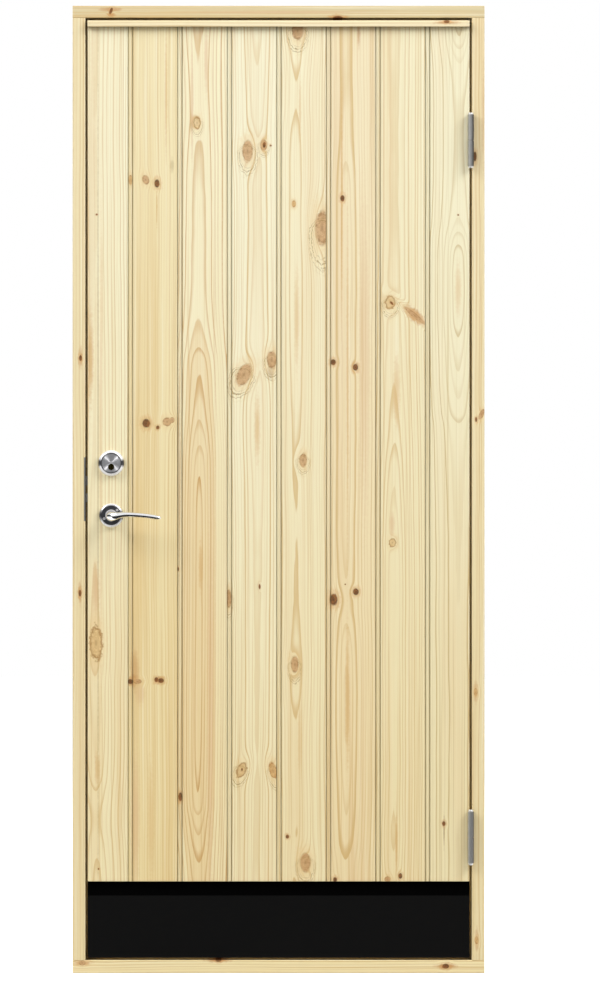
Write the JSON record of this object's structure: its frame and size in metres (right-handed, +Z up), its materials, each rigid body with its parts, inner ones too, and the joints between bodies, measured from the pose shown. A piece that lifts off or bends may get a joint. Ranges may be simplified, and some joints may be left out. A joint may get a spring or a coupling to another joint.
{
  "type": "shed door",
  "caption": "Outward-opening pine shed door in its rebated frame: beaded upright boards, drip strip, black kick plate, lift-off hinges, lever handle and bolt lock.",
  "frame": {"origin": "middle of the sill's underside, in width and in depth", "axes": "+X from the lock jamb to the hinge jamb, +Y from the outside in, +Z up"},
  "size_m": [0.89, 0.1532, 2.09],
  "materials": {
    "pine_boards": "planed, untreated",
    "pine_frame": "planed, untreated",
    "pine_core": "planed, untreated",
    "plywood": "sanded, untreated",
    "black_coated_steel": "satin black coating",
    "hinge_steel": "zinc plated, drawn",
    "hinge_caps": "bright",
    "polished_chrome": "polished",
    "turned_steel": "turned",
    "lock_steel": "zinc plated",
    "plug_brass": "dulled",
    "seal_rubber": "matt black"
  },
  "bodies": {
    "frame": {"head": "pine_frame", "sill": "pine_frame", "lock_jamb": "pine_frame", "hinge_jamb": "pine_frame", "weather_seal": "seal_rubber", "strike_plate": "lock_steel", "upper_hinge_frame_half": "hinge_steel", "lower_hinge_frame_half": "hinge_steel", "upper_hinge_foot_cap": "hinge_caps", "lower_hinge_foot_cap": "hinge_caps"},
    "leaf": {"board_1": "pine_boards", "board_2": "pine_boards", "board_3": "pine_boards", "board_4": "pine_boards", "board_5": "pine_boards", "board_6": "pine_boards", "board_7": "pine_boards", "board_8": "pine_boards", "drip_strip": "pine_boards", "lock_stile": "pine_core", "hinge_stile": "pine_core", "top_rail": "pine_core", "bottom_rail": "pine_core", "back_panel": "plywood", "kick_plate": "black_coated_steel", "upper_hinge_leaf_half": "hinge_steel", "lower_hinge_leaf_half": "hinge_steel", "upper_hinge_head_cap": "hinge_caps", "lower_hinge_head_cap": "hinge_caps", "outer_rosette": "polished_chrome", "inner_rosette": "polished_chrome", "outer_cylinder_ring": "polished_chrome", "inner_cylinder_ring": "polished_chrome", "outer_cylinder": "turned_steel", "inner_cylinder": "turned_steel", "mortise_lock": "lock_steel"},
    "lever_set": {"outer_lever": "polished_chrome", "inner_lever": "polished_chrome", "lever_spindle": "lock_steel"},
    "latch": {"latch_bolt": "lock_steel"},
    "bolt": {"dead_bolt": "lock_steel"},
    "plug": {"key_plug": "plug_brass"}
  },
  "joints": [
    {"name": "leaf_swing", "type": "hinge", "parent": "frame", "child": "leaf", "pos_m": [0.415, -0.054, 0.2935], "axis": [0, 0, 1], "range_deg": [0, 170]},
    {"name": "lever_turn", "type": "hinge", "parent": "leaf", "child": "lever_set", "pos_m": [-0.3615, -0.046, 0.989], "axis": [0, 1, 0], "range_deg": [0, 45], "stiffness_Nm_per_rad": 1.5, "springref_deg": -28.65},
    {"name": "latch_slide", "type": "slide", "parent": "leaf", "child": "latch", "axis": [1, 0, 0], "range_m": [0, 0.013]},
    {"name": "plug_turn", "type": "hinge", "parent": "leaf", "child": "plug", "pos_m": [-0.3615, -0.046, 1.0936], "axis": [0, 1, 0], "range_deg": [0, 90]},
    {"name": "dead_bolt_slide", "type": "slide", "parent": "leaf", "child": "bolt", "axis": [1, 0, 0], "range_m": [0, 0.02]}
  ],
  "couplings": [
    {"joint": "latch_slide", "follows": "lever_turn", "m_per_rad": 0.01655},
    {"joint": "plug_turn", "follows": "dead_bolt_slide", "rad_per_m": 78.5}
  ]
}
